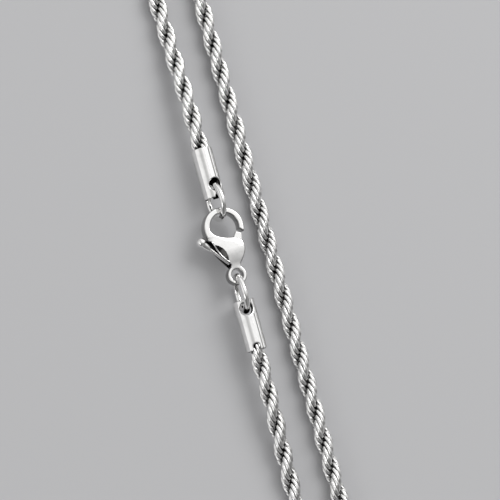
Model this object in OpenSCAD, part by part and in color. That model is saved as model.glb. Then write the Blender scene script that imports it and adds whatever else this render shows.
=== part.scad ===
// Rope chain necklace with a lobster clasp, lying closed on a table.
// The chain is laid in two long runs with a round bow at each end. The clasp sits in the middle of
// the left run. Millimetres, +Z up, +Y along the runs towards the hook, origin on the table under
// the middle of the loop.

/* [Necklace] */
// Length once round the closed loop
necklace_len = 500; // [400:10:700]
// Distance between the middles of the two long runs
run_gap = 7.45; // [6.8:0.05:30]
// Radius of the flare where a run leaves the straight
flare_r = 22; // [16:1:40]
// Radius of the round bow at each end of the loop
bow_r = 22; // [16:1:28]
// Length of chain between the two bends beside the tip of a bow
tip_len = 24; // [12:1:40]

/* [Rope chain] */
// Wire of one link
link_wire = 0.34; // [0.28:0.01:0.42]
// Air between two links where their wires cross on the rope's axis
link_air = 0.04; // [0.03:0.005:0.06]
// Length of rope in which the two strands change sides
half_turn = 4.92; // [4:0.02:6]
// Radius at which the chain climbs from the table to the end caps
climb_r = 100; // [60:5:110]

/* [End caps] */
// Length of an end cap
cap_len = 8.5; // [7.5:0.1:10]
// Wall of an end cap
cap_wall = 0.2; // [0.15:0.05:0.3]
// Air between the rope and the inside of its cap
cap_air = 0.05; // [0.03:0.01:0.1]
// Cross hole for the jump ring
cross_hole_d = 2.2; // [2.1:0.1:2.5]
// Middle of the upper cap's cross hole to its open end
upper_hole_inset = 2.1; // [2:0.05:2.4]
// Middle of the lower cap's cross hole to its open end
lower_hole_inset = 1.5; // [1.4:0.05:1.8]
// Width of the round-ended notch in a cap's edge
notch_w = 1.2; // [0.8:0.05:1.4]
// Depth of the upper cap's notch, at its open end
upper_notch = 0.6; // [0.5:0.05:0.7]
// Depth of the lower cap's notch, at the rope's end
lower_notch = 1.15; // [0.8:0.05:1.5]
// Turn of the upper cap about the chain
upper_cap_roll = 14; // [0:1:16]
// Turn of the lower cap about the chain
lower_cap_roll = -10; // [-14:1:0]
// Break on the caps' outer edges
cap_edge = 0.12; // [0.05:0.01:0.14]

/* [Jump rings] */
// Outside diameter of a jump ring
ring_d = 6.9; // [6.7:0.1:7.5]
// Wire of a jump ring
ring_wire = 1; // [0.8:0.05:1.05]
// Lean of the upper jump ring from upright
upper_ring_lean = 7; // [0:1:10]
// Lean of the lower jump ring from upright
lower_ring_lean = -4; // [-8:1:0]
// Slack left where a ring hangs on a cap, on the hook or in the eye
seat_slack = 0.18; // [0.15:0.01:0.25]

/* [Clasp] */
// Middle of the eye to the middle of the hook
hook_rise = 8.15; // [8:0.05:9.5]
// Hole inside the hook
hook_hole_d = 4.9; // [4.6:0.1:5.2]
// Width of the hook's band
hook_band = 0.85; // [0.7:0.05:1]
// Depth of the hook's band
hook_t = 2.2; // [1.8:0.1:2.4]
// Break on the hook's edges
hook_edge = 0.22; // [0.15:0.01:0.3]
// Middle of the hook to the flat floor of its hole
floor_drop = 1.5; // [1.4:0.05:1.7]
// Round between the inside of the hook and its floor
floor_round = 0.9; // [0.6:0.05:1.1]
// Depth of the body across the cheeks
body_t = 2.9; // [2.6:0.1:3.1]
// Outside diameter of the eye
eye_d = 3.24; // [3:0.02:3.3]
// Hole of the eye
eye_hole_d = 2; // [1.8:0.05:2.1]
// Depth of the eye
eye_t = 1.9; // [1.7:0.05:2]
// Break on the eye's edges
eye_edge = 0.2; // [0.1:0.02:0.25]
// Slot between the cheeks
slot_w = 1.3; // [1.1:0.05:1.4]

/* [Lever] */
// Air between the lever and each cheek
lever_air = 0.08; // [0.05:0.01:0.12]
// Diameter of the pivot pin
pin_d = 0.8; // [0.6:0.05:0.9]
// Air between the pin and the lever's bore
pin_air = 0.04; // [0.02:0.01:0.08]
// Boss of the lever round its pin
boss_d = 1.9; // [1.7:0.05:2]
// Width of the lever's arm
arm_w = 0.5; // [0.4:0.05:0.6]
// Thumb ball on the end of the arm
ball_d = 1.65; // [1.4:0.05:1.7]
// Gap between the gate's nose and the hook's tip
mouth_gap = 0.35; // [0.3:0.05:0.6]
// Wire of the lever's spring
spring_wire = 0.25; // [0.2:0.01:0.3]

/* [Hidden] */
$fn = 64;

// Links: the wires cross on the axis half a pitch apart, three and a half pitches across a link
link_pitch = 2 * (link_wire + link_air);
link_r = 1.75 * link_pitch;
link_turn = 180 * link_pitch / half_turn;
rope_d = 2 * link_r + link_wire;
link_half = rope_d / 2;

// End caps and jump rings
cap_id = rope_d + 2 * cap_air;
cap_d = cap_id + 2 * cap_wall;
ring_r = (ring_d - ring_wire) / 2;
chain_z = ring_d / 2;
// A ring's reach along the chain where it passes a wall of half depth h, and its wire's width there
function ring_reach(h) = sqrt(pow(ring_r, 2) - pow(h, 2));
function ring_half_w(h) = ring_wire / 2 * ring_r / ring_reach(h);
cap_reach = ring_reach(cap_d / 2);
cap_half_w = ring_half_w(cap_d / 2);
eye_reach = ring_reach(eye_t / 2);
eye_half_w = ring_half_w(eye_t / 2);
hook_flat = hook_t / 2 - hook_edge;

// Places along the left run, first from the middle of the eye
upper_ring_rise = hook_rise + hook_hole_d / 2 - seat_slack
    - ring_half_w(hook_flat) + ring_reach(hook_flat);
upper_hole_rise = upper_ring_rise + cap_reach - cap_half_w - seat_slack + cross_hole_d / 2;
upper_cap_rise = upper_hole_rise - upper_hole_inset;
lower_ring_drop = eye_hole_d / 2 - seat_slack + eye_reach - eye_half_w;
lower_hole_drop = lower_ring_drop + cap_reach - cap_half_w - seat_slack + cross_hole_d / 2;
lower_cap_drop = lower_hole_drop - lower_hole_inset;
// The eye is placed so that the two caps end equally far from the middle of the loop
eye_y = (lower_cap_drop - upper_cap_rise) / 2;
left_x = -run_gap / 2;
upper_ring_y = eye_y + upper_ring_rise;
lower_ring_y = eye_y - lower_ring_drop;
upper_cap_y = eye_y + upper_cap_rise;
lower_cap_y = eye_y - lower_cap_drop;
cap_end_y = upper_cap_y + cap_len;
// The rope stops short of the ring inside each cap
rope_stop = 0.3;
upper_rope_y = upper_ring_y + ring_r + ring_wire / 2 + rope_stop;
lower_rope_y = lower_ring_y - ring_r - ring_wire / 2 - rope_stop;

// Route of the rope, as a row of straights, turns on the table and climbs
flare_a = acos((run_gap / 2 + flare_r) / (flare_r + bow_r));
flare_len = flare_r * flare_a * PI / 180;
bow_len = bow_r * (180 + 2 * flare_a) * PI / 180;
run_half = necklace_len / 4 - flare_len - bow_len / 2;
climb_h = chain_z - rope_d / 2;
climb_a = acos(1 - climb_h / (2 * climb_r));
climb_len = climb_r * climb_a * PI / 180;
climb_y = 2 * climb_r * sin(climb_a);
cap_lead = 1;
upper_level = cap_end_y + cap_lead - upper_rope_y;
lower_level = lower_rope_y + cap_end_y + cap_lead;
left_flat = run_half - cap_end_y - cap_lead - climb_y;
// Each leg of the route is its kind, its length and its radius, with left and up positive
LEVEL = 0;
TURN = 1;
CLIMB = 2;
LEGS = [
    [LEVEL, upper_level, 0],
    [CLIMB, climb_len, -climb_r],
    [CLIMB, climb_len, climb_r],
    [LEVEL, left_flat, 0],
    [TURN, flare_len, flare_r],
    [TURN, bow_len, -bow_r],
    [TURN, flare_len, flare_r],
    [LEVEL, 2 * run_half, 0],
    [TURN, flare_len, flare_r],
    [TURN, bow_len, -bow_r],
    [TURN, flare_len, flare_r],
    [LEVEL, left_flat, 0],
    [CLIMB, climb_len, climb_r],
    [CLIMB, climb_len, -climb_r],
    [LEVEL, lower_level, 0]
];

// A place on the route is its x, y and z, its heading and its pitch
function ahead(p, leg, t) =
    leg[0] == TURN ? turned(p, leg[2], p[3] + t / leg[2] * 180 / PI) :
    leg[0] == CLIMB ? climbed(p, leg[2], p[4] + t / leg[2] * 180 / PI) :
    [p[0] + t * cos(p[3]), p[1] + t * sin(p[3]), p[2], p[3], p[4]];
function turned(p, r, to) =
    [p[0] + r * (sin(to) - sin(p[3])), p[1] - r * (cos(to) - cos(p[3])), p[2], to, p[4]];
function climbed(p, r, to) =
    let (along = r * (sin(to) - sin(p[4])))
    [p[0] + along * cos(p[3]), p[1] + along * sin(p[3]), p[2] - r * (cos(to) - cos(p[4])), p[3], to];
START = [left_x, upper_rope_y, chain_z, 90, 0];
STARTS = [for (i = 0, p = START; i < len(LEGS); p = ahead(p, LEGS[i], LEGS[i][1]), i = i + 1) p];
MILES = [for (i = 0, m = 0; i <= len(LEGS); m = m + (i < len(LEGS) ? LEGS[i][1] : 0), i = i + 1) m];
rope_len = MILES[len(LEGS)];
function leg_at(m, i = 0) = i == len(LEGS) - 1 || m < MILES[i + 1] ? i : leg_at(m, i + 1);
function place_at(m) = let (i = leg_at(m)) ahead(STARTS[i], LEGS[i], m - MILES[i]);
link_count = floor((rope_len - 2 * link_half) / link_pitch) + 1;

// Stretches of rope: each is a name and the mile where it ends
top_tip = MILES[5] + bow_len / 2;
low_tip = MILES[9] + bow_len / 2;
STRETCHES = [
    ["left_upper_links", MILES[4]],
    ["top_left_flare_links", MILES[5]],
    ["top_left_bow_links", top_tip - tip_len / 2],
    ["top_end_links", top_tip + tip_len / 2],
    ["top_right_bow_links", MILES[6]],
    ["top_right_flare_links", MILES[7]],
    ["right_run_links", MILES[8]],
    ["bottom_right_flare_links", MILES[9]],
    ["bottom_right_bow_links", low_tip - tip_len / 2],
    ["bottom_end_links", low_tip + tip_len / 2],
    ["bottom_left_bow_links", MILES[10]],
    ["bottom_left_flare_links", MILES[11]],
    ["left_lower_links", rope_len]
];

// Clasp outline, from the middle of the eye, with the hook towards +Y
hook_at = [0, hook_rise];
hook_in = hook_hole_d / 2;
hook_out = hook_in + hook_band;
// The floor of the hook's hole falls to the right
floor_a = -19;
floor_foot = hook_at + floor_drop * [sin(floor_a), -cos(floor_a)];
floor_half = sqrt(pow(hook_in, 2) - pow(floor_drop, 2));
floor_right = floor_foot + floor_half * [cos(floor_a), sin(floor_a)];
// Its left end is rounded up into the inside of the hook
round_reach = hook_in - floor_round;
round_drop = floor_drop - floor_round;
round_aside = sqrt(pow(round_reach, 2) - pow(round_drop, 2));
round_mid = hook_at - round_aside * [cos(floor_a), sin(floor_a)] + round_drop * [sin(floor_a), -cos(floor_a)];
round_from = 180 + atan2(hook_at[1] - round_mid[1], hook_at[0] - round_mid[0]);
round_steps = 8;
function round_at(i) = let (a = round_from + (270 + floor_a - round_from) * i / round_steps)
    round_mid + floor_round * [cos(a), sin(a)];
shoulder = hook_at + [2.5, -2.75];
belly = hook_at + [3, -4.3];
waist = [1.5, 2.45];
neck_right = [0.95, 1.75];
neck_left = [-0.65, 1.35];
neck_in = 0.4 * eye_d;
// The back edge runs straight to the arm's neck, then up to the hook's round
back_mid = [-2.95, 4.95];
back_a = 198;
back_top = hook_at + hook_out * [cos(back_a), sin(back_a)];
function bezier(a, b, c, d, n) =
    [for (i = [0 : n]) let (t = i / n, u = 1 - t)
        u * u * u * a + 3 * u * u * t * b + 3 * u * t * t * c + t * t * t * d];
body_steps = 10;
// The tip's end face starts at this angle inside the hook and runs outwards on a slant
tip_a = -16;
tip_bevel = 28;
tip_spare = 15;
root_a = 222;
// Depth of the body from the neck up to the hook
neck_y = 1.5;
chest_y = hook_rise - 3.9;
crown_y = hook_rise - 2.3;
root_y = hook_rise - 1.1;
function half_depth(y) = lookup(y, [[neck_y, eye_t / 2], [chest_y, body_t / 2]]);
// Thumb scoop in the front cheek, and the edge to which that cheek is cut back
scoop_r = 4.95;
scoop_at = [-3.6, 3.4, body_t / 2 + 3.9];
front_edge = [[-2.74, 6.31], [-1.86, 3.96], [-0.55, 2], [-0.62, 1.35]];

// Lever, from the middle of the eye
pivot = hook_at + [0.55, -4.75];
pivot_half = half_depth(pivot[1]) - 0.03;
lever_t = slot_w - 2 * lever_air;
tip_mid_a = tip_a - 4;
tip_mid = hook_at + (hook_in + hook_band / 2) * [cos(tip_mid_a), sin(tip_mid_a)];
tip_out = [cos(90 + tip_a - tip_bevel), sin(90 + tip_a - tip_bevel)];
nose_mid = tip_mid - mouth_gap * tip_out - 0.2 * [1, 0];
nose_half = 0.37;
nose_in = nose_mid - nose_half * [tip_out[1], -tip_out[0]];
nose_out = nose_mid + nose_half * [tip_out[1], -tip_out[0]];
arm_root = [-0.9, 2.45];
ball_at = hook_at + [-4.2, -1.5];
arm_dir = (ball_at - arm_root) / norm(ball_at - arm_root);
arm_side = [arm_dir[1], -arm_dir[0]];
arm_end = ball_at - 1.3 * ball_d * arm_dir;
slot_swing = 1.35;
web_x = -0.9;
spring_bend = 0.3;
spring_at = [web_x + spring_bend + spring_wire / 2, hook_rise - 3.05];
spring_leg = 0.95;

// One round link in the plane of the rope's run
module link() {
    rotate_extrude() translate([link_r, 0]) circle(d = link_wire, $fn = 24);
}

// The links whose middles lie between two miles of the route
module rope_stretch(from, to) {
    color("silver")
        for (k = [0 : link_count - 1])
            let (m = link_half + k * link_pitch)
                if (m >= from && m < to) place_link(place_at(m), k * link_turn);
}

module place_link(p, roll) {
    translate([p[0], p[1], p[2]]) rotate([0, -p[4], p[3]]) rotate([roll, 0, 0]) link();
}

// A tube along +Y from its open end, with a cross hole for the ring
module cap_tube(hole_inset) {
    difference() {
        rotate([-90, 0, 0]) rotate_extrude() polygon([
            [cap_id / 2, 0],
            [cap_d / 2 - cap_edge, 0],
            [cap_d / 2, cap_edge],
            [cap_d / 2, cap_len - cap_edge],
            [cap_d / 2 - cap_edge, cap_len],
            [cap_id / 2, cap_len]
        ]);
        translate([0, hole_inset, 0]) cylinder(d = cross_hole_d, h = 2 * cap_d, center = true);
    }
}

// A slot with a round end, cut inwards along +Y from a cap's edge
module edge_notch(depth) {
    translate([0, depth - notch_w / 2, 0]) cylinder(d = notch_w, h = 2 * cap_d, center = true);
    translate([-notch_w / 2, -depth, -cap_d]) cube([notch_w, 2 * depth - notch_w / 2, 2 * cap_d]);
}

module upper_end_cap() {
    color("silver") translate([left_x, upper_cap_y, chain_z]) rotate([0, upper_cap_roll, 0])
        difference() {
            cap_tube(upper_hole_inset);
            edge_notch(upper_notch);
        }
}

module lower_end_cap() {
    color("silver") translate([left_x, lower_cap_y, chain_z]) rotate([0, lower_cap_roll, 0])
        mirror([0, 1, 0]) difference() {
            cap_tube(lower_hole_inset);
            translate([0, cap_len, 0]) mirror([0, 1, 0]) edge_notch(lower_notch);
        }
}

// A jump ring standing in the upright plane of the chain
module jump_ring(y, lean) {
    color("silver") translate([left_x, y, chain_z]) rotate([0, 90 + lean, 0])
        rotate_extrude() translate([ring_r, 0]) circle(d = ring_wire);
}

module upper_jump_ring() {
    jump_ring(upper_ring_y, upper_ring_lean);
}

module lower_jump_ring() {
    jump_ring(lower_ring_y, lower_ring_lean);
}

module at_clasp() {
    translate([left_x, eye_y, chain_z]) children();
}

// A ring section with broken edges, for the hook and the eye
module band_section(r_in, r_out, t, edge) {
    polygon([
        [r_in, -t / 2 + edge],
        [r_in + edge, -t / 2],
        [r_out - edge, -t / 2],
        [r_out, -t / 2 + edge],
        [r_out, t / 2 - edge],
        [r_out - edge, t / 2],
        [r_in + edge, t / 2],
        [r_in, t / 2 - edge]
    ]);
}

// The hook's band from its tip round to its root, with the tip cut on a slant
module hook() {
    translate(hook_at) difference() {
        rotate([0, 0, tip_a - tip_spare]) rotate_extrude(angle = root_a - tip_a + tip_spare)
            band_section(hook_in, hook_out, hook_t, hook_edge);
        rotate([0, 0, tip_a]) translate([hook_in, 0, 0]) rotate([0, 0, -tip_bevel])
            translate([-hook_band, -2 * hook_band, -hook_t])
                cube([4 * hook_band, 2 * hook_band, 2 * hook_t]);
    }
}

module body_outline() {
    polygon(concat(
        [for (i = [0 : round_steps]) round_at(i)],
        [floor_right],
        bezier(shoulder, belly, waist, neck_right, body_steps),
        [[0.3, neck_in], [-0.3, neck_in], neck_left, back_mid, back_top]
    ));
}

// Depth of the body seen from its side, as an outline across Y
module side_outline() {
    upper = [[0, eye_t / 2], [neck_y, eye_t / 2], [chest_y, body_t / 2],
        [crown_y, body_t / 2], [root_y, hook_t / 2 + 0.05], [hook_rise, hook_t / 2]];
    lower = [for (i = [len(upper) - 1 : -1 : 0]) [upper[i][0], -upper[i][1]]];
    polygon(concat(upper, lower));
}

module body_block() {
    intersection() {
        translate([0, 0, -body_t]) linear_extrude(2 * body_t) body_outline();
        rotate([90, 0, 90]) linear_extrude(4 * hook_out, center = true) side_outline();
    }
}

// The room in which the lever swings, between the cheeks
module lever_slot() {
    linear_extrude(slot_w, center = true) {
        translate(pivot) circle(slot_swing);
        polygon([[web_x, pivot[1]], [web_x, hook_rise], [hook_out, hook_rise],
            [hook_out, pivot[1] + 1.2], [pivot[0] + 1, pivot[1] - 0.6]]);
        polygon([pivot + [0, 0.2], arm_root + 0.45 * arm_side + 0.3 * arm_dir,
            arm_root + 0.75 * arm_side + 4.4 * arm_dir, arm_root - 1.2 * arm_side + 4.4 * arm_dir,
            [-1.6, 1.2], [-0.75, neck_y], [0.2, neck_y + 0.05], pivot + [0.6, -0.9]]);
    }
}

// What the front cheek loses behind its edge
module front_cut() {
    translate([0, 0, slot_w / 2 - 0.05]) linear_extrude(body_t)
        polygon(concat([[-5, 5]], [[-3.4, 6.6]], front_edge, [[-2, 0.9]]));
}

module clasp_body() {
    color("silver") at_clasp() difference() {
        union() {
            hook();
            difference() {
                body_block();
                lever_slot();
                front_cut();
            }
            rotate_extrude() band_section(eye_hole_d / 2, eye_d / 2, eye_t, eye_edge);
        }
        cylinder(d = eye_hole_d, h = 2 * eye_t, center = true);
        translate([pivot[0], pivot[1], 0]) cylinder(d = pin_d, h = 2 * body_t, center = true);
        translate(scoop_at) sphere(scoop_r);
    }
}

// A flat bar between two points with round ends
module bar(a, b, w) {
    translate(a) circle(d = w);
    translate(b) circle(d = w);
    translate(a) rotate(atan2(b[1] - a[1], b[0] - a[0])) translate([0, -w / 2]) square([norm(b - a), w]);
}

module lever_outline() {
    translate(pivot) circle(d = boss_d);
    polygon([pivot + [-0.8, 0.3], floor_right + [-0.1, -0.1], nose_in, nose_out,
        shoulder + [0.02, 0], pivot + [0.93, 0]]);
    bar(pivot + [-0.3, -0.6], arm_root, 1.2 * arm_w);
    bar(arm_root, arm_end, arm_w);
}

module clasp_lever() {
    color("silver") at_clasp() difference() {
        union() {
            translate([0, 0, -lever_t / 2]) linear_extrude(lever_t) lever_outline();
            translate([ball_at[0], ball_at[1], 0]) sphere(d = ball_d);
            translate([arm_end[0], arm_end[1], 0]) rotate([0, 0, atan2(arm_dir[1], arm_dir[0])])
                rotate([0, 90, 0]) cylinder(d1 = 0.8 * arm_w, d2 = 0.8 * ball_d, h = 1.05 * ball_d);
        }
        translate([pivot[0], pivot[1], 0])
            cylinder(d = pin_d + 2 * pin_air, h = 2 * lever_t, center = true);
    }
}

module clasp_pin() {
    color("gainsboro") at_clasp() translate([pivot[0], pivot[1], 0])
        cylinder(d = pin_d, h = 2 * pivot_half, center = true);
}

// A hairpin of wire between the body's web and the lever
module clasp_spring() {
    color("darkgray") at_clasp() translate([spring_at[0], spring_at[1], 0]) {
        rotate_extrude(angle = 180) translate([spring_bend, 0]) circle(d = spring_wire, $fn = 24);
        for (side = [-1, 1])
            translate([side * spring_bend, 0, 0]) rotate([90, 0, 0])
                cylinder(d = spring_wire, h = spring_leg, $fn = 24);
    }
}

clasp_body();
clasp_lever();
clasp_pin();
clasp_spring();
upper_jump_ring();
lower_jump_ring();
upper_end_cap();
lower_end_cap();
for (i = [0 : len(STRETCHES) - 1])
    rope_stretch(i == 0 ? 0 : STRETCHES[i - 1][1], STRETCHES[i][1]);
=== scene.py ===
"""Rope chain necklace with a lobster clasp, lying closed on a table.

The CAD frame gives the joints and the place of every node. This add-on builds the polished pieces on
it: the interlinked rope, the end caps, the jump rings and the clasp. Shapes are worked out in
millimetres and turned into metres when a piece is finished.
"""

import math
from collections import namedtuple
from types import SimpleNamespace

import bmesh
import bpy
import numpy as np
from mathutils import Matrix, Vector
from mathutils.geometry import delaunay_2d_cdt


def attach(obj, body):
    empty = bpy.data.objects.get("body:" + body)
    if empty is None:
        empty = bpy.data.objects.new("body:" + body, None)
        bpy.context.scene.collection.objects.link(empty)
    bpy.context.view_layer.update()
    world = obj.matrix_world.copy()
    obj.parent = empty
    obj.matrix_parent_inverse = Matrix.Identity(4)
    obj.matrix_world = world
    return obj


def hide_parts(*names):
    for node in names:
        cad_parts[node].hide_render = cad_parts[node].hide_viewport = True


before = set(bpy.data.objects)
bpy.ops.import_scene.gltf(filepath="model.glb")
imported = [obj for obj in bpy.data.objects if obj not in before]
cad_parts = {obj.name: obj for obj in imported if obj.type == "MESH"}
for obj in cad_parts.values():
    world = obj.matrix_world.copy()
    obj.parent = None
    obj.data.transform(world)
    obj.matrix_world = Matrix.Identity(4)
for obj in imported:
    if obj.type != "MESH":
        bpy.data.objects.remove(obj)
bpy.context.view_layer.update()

bl_info = {
    "name": "Rope Chain Necklace",
    "version": (1, 0, 0),
    "blender": (4, 5, 0),
    "location": "3D View > Sidebar > Necklace",
    "description": "Builds a rope chain necklace with a lobster clasp on its CAD frame",
    "category": "Object",
}

MM = 0.001
TINY = 1e-6


def number(name, default, description, **limits):
    """A number that a user may change."""
    return bpy.props.FloatProperty(name=name, default=default, description=description, **limits)


def length(name, millimetres, description, lowest=0.0):
    """A length that a user may change, given in millimetres."""
    return number(name, millimetres * MM, description, min=lowest * MM, precision=5, unit="LENGTH")


def angle(name, degrees, description):
    """An angle that a user may change, given in degrees."""
    return number(name, math.radians(degrees), description, subtype="ANGLE")


def share(name, default, description):
    """A number from 0 to 1 that a user may change."""
    return number(name, default, description, min=0.0, max=1.0, subtype="FACTOR")


def colour(name, default, description):
    """A colour that a user may change."""
    return bpy.props.FloatVectorProperty(
        name=name, description=description, default=default, min=0.0, max=1.0, size=3, subtype="COLOR"
    )


class RopeSizes(bpy.types.PropertyGroup):
    """Sizes of the rope chain and of its lie on the table."""

    necklace_len: length("Necklace length", 500.0, "Length once round the closed loop")
    run_gap: length("Run gap", 7.45, "Distance between the middles of the two long runs")
    flare_r: length("Flare radius", 22.0, "Radius where a run leaves the straight")
    bow_r: length("Bow radius", 22.0, "Radius of the round bow at each end of the loop")
    tip_len: length("Tip length", 24.0, "Length of chain between the two bends beside a bow's tip")
    climb_r: length("Climb radius", 100.0, "Radius at which the chain climbs to the end caps")
    diameter: length("Rope diameter", 3.0, "Outside diameter of the rope")
    pitch: length("Link pitch", 0.76, "Length of rope from one link to the next")
    link_len: length("Link length", 3.9, "Length of a link along the rope, outside")
    twist: length("Link twist", -0.16, "Rise of a link's quarters out of its plane", lowest=-1.0)
    wire: length("Link wire", 0.56, "Thickness of a link's wire in the plane of the link")
    wire_depth: length("Link wire depth", 0.7, "Thickness of a link's wire across the plane of the link")
    # The groove's darkening is painted shade on the wire's flanks between neighbouring links
    groove: share("Groove dulling", 0.1, "How much duller the wire is in the groove between two links")
    swell: length("Link swell", 0.045, "How far a link stands out beyond the rope's plain radius")
    half_turn: length("Half turn", 4.92, "Length of rope in which the two strands change sides")
    steps: bpy.props.IntProperty(name="Link steps", description="Steps round one link", default=12, min=8)
    sides: bpy.props.IntProperty(name="Wire sides", description="Sides of the wire", default=5, min=4)


class CapSizes(bpy.types.PropertyGroup):
    """Sizes of the two end caps."""

    length: length("Cap length", 8.5, "Length of an end cap")
    wall: length("Cap wall", 0.2, "Wall of an end cap")
    air: length("Cap air", 0.05, "Air between the rope and the inside of its cap")
    hole: length("Cross hole", 2.2, "Diameter of the cross hole for the jump ring")
    upper_inset: length("Upper hole inset", 2.1, "Middle of the upper cross hole to the cap's open end")
    lower_inset: length("Lower hole inset", 1.5, "Middle of the lower cross hole to the cap's open end")
    notch_w: length("Notch width", 1.2, "Width of the round-ended notch")
    upper_notch: length("Upper notch", 0.6, "Depth of the notch at the upper cap's open end")
    lower_notch: length("Lower notch", 1.15, "Depth of the notch at the lower cap's rope end")
    upper_roll: angle("Upper cap roll", 14.0, "Turn of the upper cap about the chain")
    lower_roll: angle("Lower cap roll", -10.0, "Turn of the lower cap about the chain")


class RingSizes(bpy.types.PropertyGroup):
    """Sizes of the two jump rings."""

    outside: length("Ring diameter", 6.9, "Outside diameter of a jump ring")
    wire: length("Ring wire", 1.0, "Wire of a jump ring")
    upper_lean: angle("Upper ring lean", 7.0, "Lean of the upper jump ring from upright")
    lower_lean: angle("Lower ring lean", -4.0, "Lean of the lower jump ring from upright")
    slack: length("Seat slack", 0.18, "Slack where a ring hangs on a cap, on the hook or in the eye")


class ClaspSizes(bpy.types.PropertyGroup):
    """Sizes of the clasp and its lever."""

    hook_rise: length("Hook rise", 8.15, "Middle of the eye to the middle of the hook")
    hook_hole: length("Hook hole", 4.9, "Diameter of the hole inside the hook")
    hook_band: length("Hook band", 0.85, "Width of the hook's band")
    hook_depth: length("Hook depth", 2.2, "Depth of the hook's band")
    floor_drop: length("Floor drop", 1.5, "Middle of the hook to the floor of its hole")
    body_depth: length("Body depth", 2.9, "Depth of the body across the cheeks")
    eye_d: length("Eye diameter", 3.24, "Outside diameter of the eye")
    eye_hole: length("Eye hole", 2.0, "Hole of the eye")
    eye_depth: length("Eye depth", 1.9, "Depth of the eye")
    edge: length("Cast edge", 0.2, "Rounding of the casting's edges")
    slot_w: length("Slot width", 1.3, "Slot between the cheeks")
    lever_air: length("Lever air", 0.08, "Air between the lever and each cheek")
    boss_d: length("Boss diameter", 1.9, "Boss of the lever round its pin")
    arm_w: length("Arm width", 0.42, "Width of the lever's arm")
    ball_d: length("Ball diameter", 1.65, "Thumb ball on the end of the arm")
    pin_d: length("Pin diameter", 0.8, "Diameter of the pivot pin")


class FinishSettings(bpy.types.PropertyGroup):
    """Colours and polish of the metals."""

    silver: colour("Silver", (0.93, 0.925, 0.915), "Polished silver")
    tarnish: colour("Tarnish", (0.30, 0.295, 0.29), "Dull silver in small spots")
    # Near black: painted shade in the rope's grooves and in the casting's and caps' recesses, and also the
    # colour of their small spots
    shade_and_spot_tone: colour("Oxide", (0.045, 0.044, 0.043), "Blackened silver deep between the links")
    steel: colour("Steel", (0.62, 0.62, 0.63), "Steel of the pin and the spring")
    polish: share("Polish", 0.1, "Roughness of the polished silver")


class StageSettings(bpy.types.PropertyGroup):
    """Camera, floor and light."""

    frame_width: length("Frame width", 82.4, "Width of the picture at the clasp")
    lens: number("Lens", 150.0, "Focal length in millimetres", unit="CAMERA")
    yaw: angle("View from the left", 17.0, "Turn of the view about the chain towards its left side")
    tilt: angle("View from below", 5.0, "Tilt of the view towards the bottom end of the chain")
    roll: angle("Roll", 15.6, "Lean of the chain to the left in the picture")
    centre_right: length("Centre right", 3.48, "Middle of the picture to the right of the left run")
    centre_down: length("Centre down", 0.12, "Middle of the picture below the middle of the loop")
    floor: colour("Floor", (0.54, 0.54, 0.55), "Pale floor")


PROPERTY_GROUPS = {
    "necklace_rope": RopeSizes,
    "necklace_cap": CapSizes,
    "necklace_ring": RingSizes,
    "necklace_clasp": ClaspSizes,
    "necklace_finish": FinishSettings,
    "necklace_stage": StageSettings,
}


def in_mm(group):
    """The lengths of a property group in millimetres, and its other values as they are."""
    values = {}
    for prop in group.bl_rna.properties:
        if prop.identifier in {"rna_type", "name"}:
            continue
        value = getattr(group, prop.identifier)
        values[prop.identifier] = value / MM if prop.unit == "LENGTH" else value
    return SimpleNamespace(**values)


# Broken edge of the hook's band, on which the upper ring doesn't bear
HOOK_BREAK = 0.22


def necklace_places(scene):
    """The sizes of all pieces in millimetres, with the places along the chain worked out from them."""
    rope = in_mm(scene.necklace_rope)
    cap = in_mm(scene.necklace_cap)
    ring = in_mm(scene.necklace_ring)
    clasp = in_mm(scene.necklace_clasp)

    rope.link_r = (rope.diameter - rope.wire) / 2.0
    rope.link_half = (rope.link_len - rope.wire) / 2.0
    rope.link_turn = math.pi * rope.pitch / rope.half_turn
    cap.inside = rope.diameter + 2.0 * cap.air
    cap.outside = cap.inside + 2.0 * cap.wall
    ring.r = (ring.outside - ring.wire) / 2.0

    def ring_reach(half_depth):
        return math.sqrt(ring.r ** 2 - half_depth ** 2)

    def ring_half_width(half_depth):
        return ring.wire / 2.0 * ring.r / ring_reach(half_depth)

    cap_reach = ring_reach(cap.outside / 2.0)
    cap_half = ring_half_width(cap.outside / 2.0)
    cap_seat = cap_reach - cap_half - ring.slack + cap.hole / 2.0
    hook_flat = clasp.hook_depth / 2.0 - HOOK_BREAK
    hook_seat = clasp.hook_rise + clasp.hook_hole / 2.0 - ring.slack - ring_half_width(hook_flat)
    upper_ring_rise = hook_seat + ring_reach(hook_flat)
    upper_cap_rise = upper_ring_rise + cap_seat - cap.upper_inset
    eye_half = clasp.eye_depth / 2.0
    lower_ring_drop = clasp.eye_hole / 2.0 - ring.slack + ring_reach(eye_half) - ring_half_width(eye_half)
    lower_cap_drop = lower_ring_drop + cap_seat - cap.lower_inset

    eye_y = (lower_cap_drop - upper_cap_rise) / 2.0
    chain_z = ring.outside / 2.0
    ring.upper_y = eye_y + upper_ring_rise
    ring.lower_y = eye_y - lower_ring_drop
    cap.upper_y = eye_y + upper_cap_rise
    cap.lower_y = eye_y - lower_cap_drop
    return SimpleNamespace(
        rope=rope, cap=cap, ring=ring, clasp=clasp, left_x=-rope.run_gap / 2.0, chain_z=chain_z, eye_y=eye_y
    )


# Rope: its route over the table and its links

LEVEL, TURN, CLIMB = range(3)
ROPE_STOP = 0.3
CAP_LEAD = 1.0


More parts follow.
